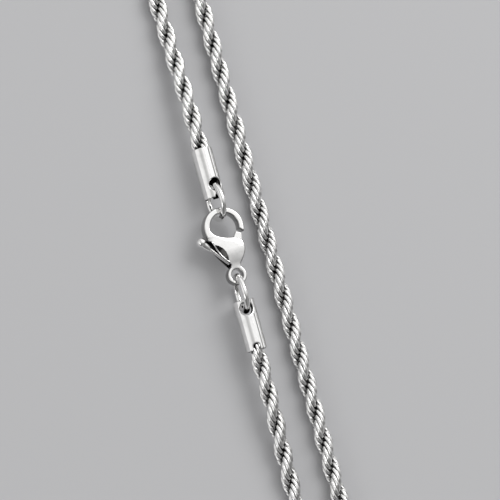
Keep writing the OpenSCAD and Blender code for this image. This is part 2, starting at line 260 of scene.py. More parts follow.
def ahead(place, leg, run):
    """The place on the route after a run along one leg: x, y, z, heading and pitch."""
    x, y, z, heading, pitch = place
    kind, _, radius = leg
    if kind == TURN:
        to = heading + run / radius
        x += radius * (math.sin(to) - math.sin(heading))
        y -= radius * (math.cos(to) - math.cos(heading))
        return (x, y, z, to, pitch)
    if kind == CLIMB:
        to = pitch + run / radius
        along = radius * (math.sin(to) - math.sin(pitch))
        z -= radius * (math.cos(to) - math.cos(pitch))
        return (x + along * math.cos(heading), y + along * math.sin(heading), z, heading, to)
    return (x + run * math.cos(heading), y + run * math.sin(heading), z, heading, pitch)


def rope_route(places):
    """The legs of the route, the place and the mile where each starts, and half the length of a bow."""
    rope, cap, ring = places.rope, places.cap, places.ring
    ring_half = ring.r + ring.wire / 2.0
    upper_start = ring.upper_y + ring_half + ROPE_STOP
    lower_end = ring.lower_y - ring_half - ROPE_STOP
    cap_end = cap.upper_y + cap.length

    flare_a = math.acos((rope.run_gap / 2.0 + rope.flare_r) / (rope.flare_r + rope.bow_r))
    flare_len = rope.flare_r * flare_a
    bow_len = rope.bow_r * (math.pi + 2.0 * flare_a)
    run_half = rope.necklace_len / 4.0 - flare_len - bow_len / 2.0
    climb_h = places.chain_z - rope.diameter / 2.0
    climb_a = math.acos(1.0 - climb_h / (2.0 * rope.climb_r))
    climb_len = rope.climb_r * climb_a
    flat = run_half - cap_end - CAP_LEAD - 2.0 * rope.climb_r * math.sin(climb_a)

    flare = (TURN, flare_len, rope.flare_r)
    bow = (TURN, bow_len, -rope.bow_r)
    climb_up = (CLIMB, climb_len, rope.climb_r)
    climb_down = (CLIMB, climb_len, -rope.climb_r)
    legs = [(LEVEL, cap_end + CAP_LEAD - upper_start, 0.0), climb_down, climb_up, (LEVEL, flat, 0.0)]
    legs += [flare, bow, flare, (LEVEL, 2.0 * run_half, 0.0), flare, bow, flare]
    legs += [(LEVEL, flat, 0.0), climb_up, climb_down, (LEVEL, lower_end + cap_end + CAP_LEAD, 0.0)]

    starts = [(places.left_x, upper_start, places.chain_z, math.pi / 2.0, 0.0)]
    miles = [0.0]
    for leg in legs:
        starts.append(ahead(starts[-1], leg, leg[1]))
        miles.append(miles[-1] + leg[1])
    return SimpleNamespace(legs=legs, starts=starts, miles=miles, half_bow=bow_len / 2.0)


def place_at(route, mile):
    """The place on the route at one mile."""
    leg = 0
    while leg < len(route.legs) - 1 and mile >= route.miles[leg + 1]:
        leg += 1
    return ahead(route.starts[leg], route.legs[leg], mile - route.miles[leg])


def rope_stretches(rope, route):
    """The bodies that carry links: each with its nodes and the mile where its links end."""
    miles = route.miles
    stretches = [("left_upper_run", ["left_upper_links"], miles[4])]
    for end, there, back, bow in (("top", "left", "right", 5), ("bottom", "right", "left", 9)):
        tip = miles[bow] + route.half_bow
        nodes = [f"{end}_{there}_flare_links", f"{end}_{there}_bow_links"]
        stretches.append((f"{end}_{there}_bend", nodes, tip - rope.tip_len / 2.0))
        stretches.append((f"{end}_end", [f"{end}_end_links"], tip + rope.tip_len / 2.0))
        nodes = [f"{end}_{back}_bow_links", f"{end}_{back}_flare_links"]
        stretches.append((f"{end}_{back}_bend", nodes, miles[bow + 2]))
        if end == "top":
            stretches.append(("right_run", ["right_run_links"], miles[8]))
    return stretches + [("left_lower_run", ["left_lower_links"], miles[-1])]


def link_points(name, places, turns):
    """A mesh of link middles, with each link's turn kept on its point."""
    mesh = bpy.data.meshes.new(name)
    mesh.from_pydata([tuple(p) for p in places], [], [])
    turn = mesh.attributes.new("turn", "FLOAT_VECTOR", "POINT")
    turn.data.foreach_set("vector", [value for t in turns for value in t])
    return mesh


def node_adder(tree):
    """A function that adds a node with its settings and inputs, values or sockets, and gives its outputs."""

    def add(kind, inputs=None, **settings):
        node = tree.nodes.new(kind)
        for name, value in settings.items():
            setattr(node, name, value)
        for key, value in (inputs or {}).items():
            if isinstance(value, bpy.types.NodeSocket):
                tree.links.new(value, node.inputs[key])
            else:
                node.inputs[key].default_value = value
        return node.outputs

    return add


LINK_INPUTS = {
    "Geometry": "Geometry",
    "Link Radius": "Float",
    "Link Half": "Float",
    "Twist": "Float",
    "Wire": "Float",
    "Wire Depth": "Float",
    "Groove": "Float",
    "Steps": "Int",
    "Sides": "Int",
    "Material": "Material",
}


def link_tree():
    """Geometry nodes that hang one wire link on every point."""
    tree = bpy.data.node_groups.new("Rope Links", "GeometryNodeTree")
    tree.is_modifier = True
    for name, kind in LINK_INPUTS.items():
        tree.interface.new_socket(name, in_out="INPUT", socket_type=f"NodeSocket{kind}")
    tree.interface.new_socket("Geometry", in_out="OUTPUT", socket_type="NodeSocketGeometry")
    add = node_adder(tree)
    given = add("NodeGroupInput")

    def maths(operation, *values):
        return add("ShaderNodeMath", dict(enumerate(values)), operation=operation)["Value"]

    def round_curve(steps, radius):
        return add("GeometryNodeCurvePrimitiveCircle", {"Resolution": steps, "Radius": radius})["Curve"]

    # The round is drawn out along the rope and twisted, so that its quarters stand out of its plane
    position = add("GeometryNodeInputPosition")["Position"]
    x, y, z = add("ShaderNodeSeparateXYZ", {"Vector": position})
    rise = maths("MULTIPLY", maths("MULTIPLY", x, y), given["Twist"])
    half = maths("MULTIPLY", x, given["Link Half"])
    aside = maths("MULTIPLY", y, given["Link Radius"])
    drawn = add("ShaderNodeCombineXYZ", {"X": half, "Y": aside, "Z": rise})["Vector"]
    ring = {"Geometry": round_curve(given["Steps"], 1.0), "Position": drawn}
    oval = add("ShaderNodeCombineXYZ", {"X": given["Wire"], "Y": given["Wire Depth"], "Z": 1.0})["Vector"]
    section = {"Geometry": round_curve(given["Sides"], 0.5), "Scale": oval}
    curves = {
        "Curve": add("GeometryNodeSetPosition", ring)["Geometry"],
        "Profile Curve": add("GeometryNodeTransform", section)["Geometry"],
    }
    link = add("GeometryNodeCurveToMesh", curves)["Mesh"]

    # A link lies in its own XY plane with the rope along X, so Y tells how far out a point is, and
    # Z, less the twist, how far it lies in the groove between two links
    beside = maths("DIVIDE", y, given["Link Radius"])
    ahead_by = maths("DIVIDE", x, given["Link Half"])
    risen = maths("MULTIPLY", maths("MULTIPLY", beside, ahead_by), given["Twist"])
    off_plane = maths("ABSOLUTE", maths("SUBTRACT", z, risen))
    in_groove = maths("DIVIDE", off_plane, given["Wire Depth"])
    groove_shade = maths("MULTIPLY", in_groove, given["Groove"])
    far = maths("SUBTRACT", maths("ABSOLUTE", beside), groove_shade)
    # The stored value is a painted shade mask: low values darken the wire towards the rope's middle and in
    # the groove between links
    kept = {"Geometry": link, "Name": "outwards", "Value": far}
    link = add("GeometryNodeStoreNamedAttribute", kept, data_type="FLOAT", domain="POINT")["Geometry"]

    turn = add("GeometryNodeInputNamedAttribute", {"Name": "turn"}, data_type="FLOAT_VECTOR")["Attribute"]
    turned = add("FunctionNodeEulerToRotation", {"Euler": turn})["Rotation"]
    hung = {"Points": given["Geometry"], "Instance": link, "Rotation": turned}
    links = add("GeometryNodeInstanceOnPoints", hung)["Instances"]
    links = add("GeometryNodeRealizeInstances", {"Geometry": links})["Geometry"]
    links = add("GeometryNodeSetMaterial", {"Geometry": links, "Material": given["Material"]})["Geometry"]
    add("NodeGroupOutput", {"Geometry": links})
    return tree


def set_inputs(modifier, values):
    """Set a geometry nodes modifier's inputs, each through its socket's identifier."""
    for item in modifier.node_group.interface.items_tree:
        if item.item_type == "SOCKET" and item.in_out == "INPUT" and item.name in values:
            modifier[item.identifier] = values[item.name]


# Meshes: helpers for lathed, ring-shaped and cast pieces, all in millimetres


def new_object(name, mesh):
    """An object in the scene that shows a mesh."""
    obj = bpy.data.objects.new(name, mesh)
    bpy.context.scene.collection.objects.link(obj)
    return obj


def evaluated_mesh(obj):
    """The mesh of an object with its modifiers carried out, which are then taken off."""
    graph = bpy.context.evaluated_depsgraph_get()
    mesh = bpy.data.meshes.new_from_object(obj.evaluated_get(graph))
    obj.modifiers.clear()
    obj.data = mesh
    return mesh


def grid_mesh(name, rows, close_rows):
    """A mesh over rows of points, each row closed on itself, with the rows closed on each other or capped."""
    mesh = bpy.data.meshes.new(name)
    across = len(rows[0])
    points = [tuple(p) for row in rows for p in row]
    faces = []
    last = len(rows) if close_rows else len(rows) - 1
    for i in range(last):
        j = (i + 1) % len(rows)
        for a in range(across):
            b = (a + 1) % across
            faces.append((i * across + a, i * across + b, j * across + b, j * across + a))
    if not close_rows:
        faces.append(tuple(range(across)))
        faces.append(tuple((len(rows) - 1) * across + a for a in range(across)))
    mesh.from_pydata(points, [], faces)
    face_outwards(mesh)
    return mesh


def face_outwards(mesh, weld=0.0):
    """Turn all faces outwards, after welding points that lie together."""
    bm = bmesh.new()
    bm.from_mesh(mesh)
    if weld:
        bmesh.ops.remove_doubles(bm, verts=bm.verts, dist=weld)
    bmesh.ops.recalc_face_normals(bm, faces=bm.faces)
    bm.to_mesh(mesh)
    bm.free()
    mesh.update()


def once_round(count):
    """Angles once round, in even steps."""
    return [math.tau * i / count for i in range(count)]


def torus(name, radius, wire, steps, sides):
    """A wire ring in the XY plane."""
    rows = []
    for a in once_round(steps):
        row = []
        for b in once_round(sides):
            r = radius + wire / 2.0 * math.cos(b)
            row.append((r * math.cos(a), r * math.sin(a), wire / 2.0 * math.sin(b)))
        rows.append(row)
    return grid_mesh(name, rows, True)


def lathed(name, profile, steps):
    """A solid of revolution about X, from points of place along X and radius."""
    rows = [[(x, r * math.cos(a), r * math.sin(a)) for a in once_round(steps)] for x, r in profile]
    return grid_mesh(name, rows, False)


def prism(name, outline, half_depth):
    """A straight block over an outline, from minus to plus its half depth."""
    low = [(x, y, -half_depth) for x, y in outline]
    high = [(x, y, half_depth) for x, y in outline]
    return grid_mesh(name, [low, high], False)


def wire(name, points, radius, sides):
    """A round wire along points in space."""
    rows = []
    for number, point in enumerate(points):
        way = points[min(number + 1, len(points) - 1)] - points[max(number - 1, 0)]
        aside = way.cross(Vector((0.0, 0.0, 1.0))).normalized()
        above = aside.cross(way).normalized()
        ways = [math.cos(a) * aside + math.sin(a) * above for a in once_round(sides)]
        rows.append([tuple(point + radius * way_out) for way_out in ways])
    return grid_mesh(name, rows, False)


def arc(centre, radius, start, end, step):
    """Points on a circle from one angle to another, in radians, about one step apart."""
    count = max(2, int(abs(end - start) * radius / step))
    angles = [start + (end - start) * i / count for i in range(count + 1)]
    return [(centre[0] + radius * math.cos(a), centre[1] + radius * math.sin(a)) for a in angles]


def circle(centre, radius, step):
    """Points once round a circle, about one step apart."""
    return arc(centre, radius, 0.0, math.tau, step)[:-1]


def bezier(a, b, c, d, count):
    """Points on a cubic curve."""
    points = []
    for i in range(count + 1):
        t = i / count
        u = 1.0 - t
        weights = (u ** 3, 3.0 * u * u * t, 3.0 * u * t * t, t ** 3)
        points.append(tuple(sum(w * p[k] for w, p in zip(weights, (a, b, c, d))) for k in (0, 1)))
    return points


def evenly(points, step):
    """A closed outline with no two points further apart than a step."""
    result = []
    for p, q in zip(points, points[1:] + points[:1]):
        gap = math.dist(p, q)
        if gap < TINY:
            continue
        count = max(1, math.ceil(gap / step))
        result += [(p[0] + (q[0] - p[0]) * i / count, p[1] + (q[1] - p[1]) * i / count) for i in range(count)]
    return result


def rim_distance(points, rims):
    """The distance of each point from the nearest of the rim lines."""
    start = np.array([a for a, _ in rims])
    along = np.array([b for _, b in rims]) - start
    square = np.maximum((along ** 2).sum(axis=1), TINY ** 2)
    offset = points[:, None, :] - start[None, :, :]
    t = np.clip((offset * along[None, :, :]).sum(axis=2) / square[None, :], 0.0, 1.0)
    nearest = offset - t[:, :, None] * along[None, :, :]
    return np.sqrt((nearest ** 2).sum(axis=2)).min(axis=1)


def inside(points, outlines):
    """Whether each point lies inside the outlines, counted by crossings."""
    hit = np.zeros(len(points), dtype=bool)
    for outline in outlines:
        a = np.array(outline)
        b = np.roll(a, -1, axis=0)
        for p, q in zip(a, b):
            if p[1] == q[1]:
                continue
            crosses = (p[1] > points[:, 1]) != (q[1] > points[:, 1])
            at = p[0] + (points[:, 1] - p[1]) / (q[1] - p[1]) * (q[0] - p[0])
            hit ^= crosses & (points[:, 0] < at)
    return hit


ROUNDING_STEPS = (18, 36, 54, 72, 90)
ROUNDING_CLEAR = 0.97
PLATE_WELD = 1e-5


def cast_plate(name, outlines, height, edge, step, open_side=None):
    """A plate with rounded edges over flat outlines, as high in front of its middle plane as behind it.

    The first outline runs anticlockwise, and the holes run clockwise. The height is a number, or a
    function of x and y. The edges are rounded over a pair of radii, front and back. Between two points
    for which open_side is true there is no rim, because the plate is rolled up and welded there.
    """
    pairs = [(p, q) for line in outlines for p, q in zip(line, line[1:] + line[:1])]
    rims = [pair for pair in pairs if not (open_side and open_side(pair))]
    widest = max(edge)
    rounding = [widest * (1.0 - math.cos(math.radians(a))) for a in ROUNDING_STEPS]

    bars = []
    extra = []
    start = 0
    for line in outlines:
        count = len(line)
        bars += [(start + i, start + (i + 1) % count) for i in range(count)]
        start += count
        here = np.array(line)
        way = np.roll(here, -1, axis=0) - np.roll(here, 1, axis=0)
        way /= np.maximum(np.linalg.norm(way, axis=1), TINY)[:, None]
        inwards = np.stack((-way[:, 1], way[:, 0]), axis=1)
        for depth in rounding:
            moved = here + depth * inwards
            clear = rim_distance(moved, rims) > ROUNDING_CLEAR * depth
            extra.append(moved[clear & inside(moved, outlines)])
    fixed = np.array([p for line in outlines for p in line])
    low = fixed.min(axis=0)
    high = fixed.max(axis=0)
    xs, ys = np.meshgrid(np.arange(low[0], high[0], 2.0 * step), np.arange(low[1], high[1], 2.0 * step))
    grid = np.stack((xs.ravel(), ys.ravel()), axis=1)
    grid = grid[inside(grid, outlines)]
    extra.append(grid[rim_distance(grid, pairs) > widest + step])
    cloud = np.concatenate([fixed] + extra)

    flat, _, faces, origin, _, _ = delaunay_2d_cdt([Vector(p) for p in cloud], bars, [], 0, PLATE_WELD)
    flat = np.array([(v.x, v.y) for v in flat])
    faces = np.array([f for f in faces if len(f) == 3])
    faces = faces[inside(flat[faces].mean(axis=1), outlines)]
    a, b, c = (flat[faces[:, k]] for k in (0, 1, 2))
    area = (b[:, 0] - a[:, 0]) * (c[:, 1] - a[:, 1]) - (b[:, 1] - a[:, 1]) * (c[:, 0] - a[:, 0])
    faces[area < 0.0] = faces[area < 0.0][:, ::-1]

    depth = rim_distance(flat, rims)

    def rounded(radius):
        return np.sqrt(np.maximum(radius ** 2 - (radius - np.minimum(depth, radius)) ** 2, 0.0)) - radius

    level = height(flat[:, 0], flat[:, 1]) if callable(height) else height
    top = level + rounded(edge[0])
    bottom = -level - rounded(edge[1])
    size = len(flat)
    place = {old: new for new, olds in enumerate(origin) for old in olds}
    walls = []
    rim_set = set(rims)
    for pair, (i, j) in zip(pairs, bars):
        if pair in rim_set:
            p, q = place[i], place[j]
            walls.append((p, p + size, q + size, q))
    vertices = [(x, y, z) for side in (top, bottom) for (x, y), z in zip(flat, side)]
    triangles = [tuple(f) for f in faces] + [tuple(size + k for k in f[::-1]) for f in faces]
    mesh = bpy.data.meshes.new(name)
    mesh.from_pydata(vertices, [], [tuple(int(k) for k in f) for f in triangles + walls])
    return mesh


def boolean(obj, solid, operation):
    """Join a solid mesh to an object, or cut it out of the object."""
    other = new_object(solid.name, solid)
    modifier = obj.modifiers.new("Solid", "BOOLEAN")
    modifier.operation = operation
    modifier.solver = "EXACT"
    modifier.object = other
    evaluated_mesh(obj)
    bpy.data.objects.remove(other)


def taken(obj):
    """The mesh of a working object, which is dropped."""
    mesh = obj.data
    bpy.data.objects.remove(obj)
    return mesh


CREASE = 40.0
LINK_CREASE = 100.0


def finish_piece(name, mesh, place, material, body, nodes, crease=CREASE):
    """Turn a mesh in millimetres into a finished piece in metres that stands for its CAD nodes."""
    mesh.transform(Matrix.Scale(MM, 4) @ place)
    mesh.shade_smooth()
    mesh.set_sharp_from_angle(angle=math.radians(crease))
    mesh.name = name
    piece = new_object(name, mesh)
    mesh.materials.clear()
    mesh.materials.append(material)
    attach(piece, body)
    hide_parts(*nodes)
    return piece


# Materials: polished metal with fine polishing marks, small darker spots, and painted shade in recesses

MARKS_PER_M = 5000.0
MARK_STRENGTH = 0.12
MARK_DEPTH = 0.00002
CLOUDS_PER_M = 700.0
FILM_SPAN = (0.45, 0.85)
FILM_MOST = 0.15
ROUGH_SPAN = (0.35, 0.75)
ROUGH_TIMES = (0.7, 1.6)
EVEN = (1.0, 1.0, 1.0)


def ranged(add, value, span, to_span=(0.0, 1.0)):
    """A value brought from one span to another, and held there, by a node."""
    limits = zip(("From Min", "From Max", "To Min", "To Max"), (*span, *to_span))
    return add("ShaderNodeMapRange", {"Value": value, **dict(limits)})["Result"]


def metal(name, bright, dull, roughness, stretch, recess=None):
    """A polished metal, with its polishing marks stretched along one axis."""
    material = bpy.data.materials.new(name)
    material.use_nodes = True
    material.node_tree.nodes.clear()
    add = node_adder(material.node_tree)
    where = add("ShaderNodeTexCoord")["Object"]
    along = add("ShaderNodeMapping", {"Vector": where, "Scale": stretch})["Vector"]
    marks = add("ShaderNodeTexNoise", {"Vector": along, "Scale": MARKS_PER_M, "Detail": 3.0})["Fac"]
    clouds = add("ShaderNodeTexNoise", {"Vector": where, "Scale": CLOUDS_PER_M, "Detail": 4.0})["Fac"]
    amount = ranged(add, clouds, FILM_SPAN, (0.0, FILM_MOST))
    # Painted shade: a recess mask mixes in the darker tone fully where a point lies deep
    if recess:
        depth = add("ShaderNodeAttribute", attribute_name=recess.attribute)["Fac"]
        deep = ranged(add, depth, (recess.clean, recess.deep))
        amount = add("ShaderNodeMath", {0: deep, 1: amount}, operation="MAXIMUM")["Value"]
    mixed = {"Factor": amount, "A": (*bright, 1.0), "B": (*dull, 1.0)}
    bumps = {"Height": marks, "Strength": MARK_STRENGTH, "Distance": MARK_DEPTH}
    looks = {
        "Metallic": 1.0,
        "Base Color": add("ShaderNodeMix", mixed, data_type="RGBA")["Result"],
        "Roughness": ranged(add, clouds, ROUGH_SPAN, [times * roughness for times in ROUGH_TIMES]),
        "Normal": add("ShaderNodeBump", bumps)["Normal"],
    }
    add("ShaderNodeOutputMaterial", {"Surface": add("ShaderNodeBsdfPrincipled", looks)["BSDF"]})
    return material


# A painted shade mask: its attribute, and the values at which a point is unshaded and fully shaded
Recess = namedtuple("Recess", "attribute clean deep")
# Painted shade of the rope: wire towards the rope's middle and in its grooves is mixed towards near black
ROPE_PAINTED_SHADE = Recess("outwards", 0.7, 0.36)
SHADED_RECESSES = Recess("dulled", 0.0, 1.0)


def silver(scene, name, recess=None, stretch=EVEN):
    """Polished silver of one kind of piece."""
    finish = scene.necklace_finish
    # Pieces with a recess mask take the near-black tone, as painted shade in their recesses and for their
    # small spots; the others take the tarnish for their spots only
    dull = finish.shade_and_spot_tone if recess else finish.tarnish
    return metal(name, finish.silver, dull, finish.polish, stretch, recess)


# Clasp: points and outlines from the middle of the eye, with the hook towards +Y

TIP_A = math.radians(-16.0)
TIP_OUT_A = math.radians(-24.3)
FLOOR_A = math.radians(-19.0)
BACK_A = math.radians(198.0)
EYE_BACK_A = math.radians(116.0)
EYE_FRONT_A = math.radians(411.0)
BACK_WIDER = 0.05
WIDER_FROM = 0.3
BACK_PULL = ((-3.35, 6.1), (-3.0, 4.9))
BACK_STEPS = 40
FLOOR_PULL = ((-0.6, 6.45), (-2.3, 7.0))
CURVE_STEPS = 24
CAST_STEP = 0.11

# Height of the casting: its steps are smoothed along the clasp, and the body is crowned across it
PIN_COVER = 0.02
HOOK_COVER = 0.03
SMOOTHING = (-0.6, -0.3, 0.0, 0.3, 0.6)
CROWN = 0.035
CROWN_X = 0.4
CROWN_FROM = 1.8
CROWN_TO = -1.0
CROWN_FADE = 1.5

# Corners of outlines, each as a marked point and a step from it
GATE_ROOM = (
    ("pivot", -1.45, 0.0),
    ("pivot", 1.0, -0.6),
    ("pivot", 2.85, 1.2),
    ("hook", 3.4, -1.6),
    ("hook", -0.9, -1.2),
)
ARM_ROOM_HEAD = (("pivot", 0.0, 0.2),)
ARM_ROOM_FOOT = (("eye", -1.6, 1.2), ("eye", -0.75, 1.5), ("eye", 0.2, 1.55), ("pivot", 0.6, -0.9))
GATE = (
    ("pivot", -0.7, 0.2),
    ("pivot", 0.93, 0.0),
    ("shoulder", 0.12, 0.0),
    ("eye", 2.7, 6.66),
    ("eye", 1.84, 7.12),
    ("floor_right", -0.26, 0.0),
    ("floor_right", -0.1, -0.4),
)
ARM_HEEL = (("pivot", 0.1, -0.85), ("pivot", -0.8, -0.2))


def clasp_marks(clasp):
    """The points on the clasp that its outlines share."""
    at = SimpleNamespace()
    at.eye = (0.0, 0.0)
    at.eye_r = clasp.eye_d / 2.0
    at.hook = (0.0, clasp.hook_rise)
    at.hook_in = clasp.hook_hole / 2.0
    at.hook_out = at.hook_in + clasp.hook_band
    at.shoulder = (2.36, clasp.hook_rise - 2.75)
    at.belly = (2.86, clasp.hook_rise - 4.4)
    at.waist = (1.7, 2.5)
    at.neck_right = (1.1, 1.76)
    at.pivot = (0.55, clasp.hook_rise - 4.75)
    floor_half = math.sqrt(at.hook_in ** 2 - clasp.floor_drop ** 2)
    foot = (clasp.floor_drop * math.sin(FLOOR_A), clasp.hook_rise - clasp.floor_drop * math.cos(FLOOR_A))
    at.floor_right = (foot[0] + floor_half * math.cos(FLOOR_A), foot[1] + floor_half * math.sin(FLOOR_A))
    at.back_in = (-at.hook_in, clasp.hook_rise)
    at.back_foot = (at.eye_r * math.cos(EYE_BACK_A), at.eye_r * math.sin(EYE_BACK_A))
    at.ball = Vector((-4.2, clasp.hook_rise - 1.5))
    at.arm_root = Vector((-0.9, 2.45))
    at.arm_way = (at.ball - at.arm_root).normalized()
    at.arm_side = Vector((at.arm_way.y, -at.arm_way.x))
    return at


def corners(at, steps):
    """The corners of an outline, from the marked points and the steps from them."""
    return [(getattr(at, mark)[0] + x, getattr(at, mark)[1] + y) for mark, x, y in steps]


def casting_outline(clasp, at):
    """The rim of the hook, body and eye in one round, and the eye's hole."""
    rim = []
    for x, y in arc(at.hook, at.hook_out, TIP_OUT_A, BACK_A, CAST_STEP):
        wider = 1.0 + BACK_WIDER * min(max(WIDER_FROM - x / at.hook_out, 0.0), 1.0)
        rim.append((wider * x, at.hook[1] + wider * (y - at.hook[1])))
    rim += bezier(rim[-1], *BACK_PULL, at.back_foot, BACK_STEPS)[1:-1]
    rim += arc(at.eye, at.eye_r, EYE_BACK_A, EYE_FRONT_A, CAST_STEP)
    rim += bezier(at.neck_right, at.waist, at.belly, at.shoulder, CURVE_STEPS)
    rim += bezier(at.floor_right, *FLOOR_PULL, at.back_in, CURVE_STEPS)[:-1]
    rim += arc(at.hook, at.hook_in, math.pi, TIP_A, CAST_STEP)
    hole = arc(at.eye, clasp.eye_hole / 2.0, math.tau, 0.0, CAST_STEP)[:-1]
    return evenly(rim, CAST_STEP), hole


def casting_height(clasp):
    """The height of the casting's front over its middle plane."""
    rise = clasp.hook_rise
    eye = clasp.eye_depth / 2.0
    body = clasp.body_depth / 2.0
    hook = clasp.hook_depth / 2.0
    rises = (0.0, 1.5, 2.6, 4.0, rise - 2.6, rise - 1.2, rise + 9.0)
    heights = (eye, eye, 0.5 * (eye + body) + PIN_COVER, body, body, hook + HOOK_COVER, hook)

    def height(x, y):
        smooth = sum(np.interp(y + shift, rises, heights) for shift in SMOOTHING) / len(SMOOTHING)
        crowned = np.clip((y - CROWN_FROM) / CROWN_FADE, 0.0, 1.0)
        crowned = crowned * np.clip((rise + CROWN_TO - y) / CROWN_FADE, 0.0, 1.0)
        return smooth - CROWN * crowned * (x - CROWN_X) ** 2

    return height


def on_chain(places, y):
    """The place on the line of the clasp, rings and caps at one rise."""
    return Matrix.Translation((places.left_x, y, places.chain_z))


# Operators: one for each kind of piece, and the stage


class NECKLACE_OT_rope(bpy.types.Operator):
    """Build the interlinked wire links of the rope, one piece for each body"""

    bl_idname = "necklace.rope"
    bl_label = "Rope Links"
    bl_options = {"REGISTER", "UNDO"}

    def execute(self, context):
        places = necklace_places(context.scene)
        rope = places.rope
        route = rope_route(places)
        half_link = rope.diameter / 2.0
        count = int((route.miles[-1] - 2.0 * half_link) / rope.pitch) + 1
        # The links are longer than the rope is thick, so the one at each end is left out
        first = rope.link_len / 2.0
        last = route.miles[-1] - first
        material = silver(context.scene, "Link Silver", ROPE_PAINTED_SHADE)
        tree = link_tree()
        values = {
            "Link Radius": rope.link_r + rope.swell,
            "Link Half": rope.link_half,
            "Twist": 2.0 * rope.twist,
            "Wire": rope.wire,
            "Wire Depth": rope.wire_depth,
            "Groove": 2.0 * rope.groove,
            "Steps": rope.steps,
            "Sides": rope.sides,
            "Material": material,
        }
        k = 0
        for body, nodes, end in rope_stretches(rope, route):
            middles = []
            turns = []
            while k < count and half_link + k * rope.pitch < end:
                mile = half_link + k * rope.pitch
                if first < mile < last:
                    x, y, z, heading, pitch = place_at(route, mile)
                    middles.append((x, y, z))
                    turns.append((k * rope.link_turn, -pitch, heading))
                k += 1
            if not middles:
                raise RuntimeError(f"no links on {body}")
            holder = new_object(f"{body}_points", link_points(f"{body}_points", middles, turns))
            modifier = holder.modifiers.new("Rope Links", "NODES")
            modifier.node_group = tree
            set_inputs(modifier, values)
            evaluated_mesh(holder)
            mesh = taken(holder)
            here = Matrix.Identity(4)
            finish_piece(f"{body}_rope", mesh, here, material, body, nodes, crease=LINK_CREASE)
        return {"FINISHED"}


CAP_STEP = 0.12
CAP_EDGE = (0.16, 0.03)
CAP_WELD = 0.002
ALONG_CAP = (1.0, 0.08, 1.0)


class NECKLACE_OT_caps(bpy.types.Operator):
    """Roll up the two end caps, with their cross holes and notches"""

    bl_idname = "necklace.caps"
    bl_label = "End Caps"
    bl_options = {"REGISTER", "UNDO"}

    def tube(self, name, cap, hole_inset, notch, notch_at_rope):
        """A tube along +Y from its open end, cut out as a flat sheet and rolled up."""
        mid_r = (cap.inside + cap.wall) / 2.0
        around = math.tau * mid_r
        notch_half = cap.notch_w / 2.0

        def across(x, lower):
            turn = math.acos(x / mid_r)
            return mid_r * (math.tau - turn if lower else turn)

        def end_line(y_edge, inwards, notched):
            line = [(0.0, y_edge)]
            if notched:
                bend = arc((0.0, notch - notch_half), notch_half, 0.0, math.pi, CAP_STEP)
                bend = [(notch_half, 0.0)] + bend + [(-notch_half, 0.0)]
                for lower in (False, True):
                    spots = [(across(x, lower), y_edge + inwards * y) for x, y in bend]
                    line += spots[::-1] if lower else spots
            return line

        def at_seam(pair):
            return all(p[0] < TINY for p in pair) or all(p[0] > around - TINY for p in pair)

        bottom = end_line(0.0, 1.0, not notch_at_rope)
        top = end_line(cap.length, -1.0, notch_at_rope)[:0:-1]
        top = [(around, cap.length)] + top + [(0.0, cap.length)]
        outlines = [evenly(bottom + [(around, 0.0)] + top, CAP_STEP)]
        for lower in (False, True):
            ring = circle((0.0, hole_inset), cap.hole / 2.0, CAP_STEP)
            spots = [(across(x, lower), y) for x, y in ring]
            outlines.append(spots[::-1] if lower else spots)
        mesh = cast_plate(name, outlines, cap.wall / 2.0, CAP_EDGE, CAP_STEP, at_seam)
        for vertex in mesh.vertices:
            s, y, z = vertex.co
            turn = s / mid_r
            vertex.co = ((mid_r + z) * math.cos(turn), y, (mid_r + z) * math.sin(turn))
        face_outwards(mesh, weld=CAP_WELD)
        # The inside gets painted shade
        dulled = mesh.attributes.new("dulled", "FLOAT", "POINT")
        for vertex, value in zip(mesh.vertices, dulled.data):
            value.value = 1.0 if math.hypot(vertex.co.x, vertex.co.z) < mid_r else 0.0
        return mesh

    def execute(self, context):
        places = necklace_places(context.scene)
        cap = places.cap
        material = silver(context.scene, "Cap Silver", SHADED_RECESSES, ALONG_CAP)
        for side in ("upper", "lower"):
            sizes = ("inset", "notch", "roll", "y")
            inset, notch, roll, y = (getattr(cap, f"{side}_{size}") for size in sizes)
            mesh = self.tube(f"{side}_cap", cap, inset, notch, side == "lower")
            if side == "lower":
                mesh.transform(Matrix.Scale(-1.0, 4, (0.0, 1.0, 0.0)))
                face_outwards(mesh)
            place = on_chain(places, y) @ Matrix.Rotation(roll, 4, "Y")
            body = f"left_{side}_run"
            finish_piece(f"{side}_cap", mesh, place, material, body, [f"{side}_end_cap"])
        return {"FINISHED"}


RING_STEPS = 160
RING_SIDES = 32


class NECKLACE_OT_rings(bpy.types.Operator):
    """Bend the two jump rings"""

    bl_idname = "necklace.rings"
    bl_label = "Jump Rings"
    bl_options = {"REGISTER", "UNDO"}

    def execute(self, context):
        places = necklace_places(context.scene)
        ring = places.ring
        material = silver(context.scene, "Ring Silver")
        for side in ("upper", "lower"):
            body = f"{side}_ring"
            mesh = torus(body, ring.r, ring.wire, RING_STEPS, RING_SIDES)
            lean = Matrix.Rotation(math.pi / 2.0 + getattr(ring, f"{side}_lean"), 4, "Y")
            place = on_chain(places, getattr(ring, f"{side}_y")) @ lean
            nodes = [f"{side}_jump_ring"]
            finish_piece(f"{side}_ring_wire", mesh, place, material, body, nodes)
        return {"FINISHED"}


# Slot round the lever: round its boss, and beside its arm as steps aside of it and along it from its root
SWING_R = 1.35
SWING_STEP = 0.15
ARM_ROOM_SIDES = ((0.45, 0.3), (0.82, 4.85), (-1.2, 4.85))

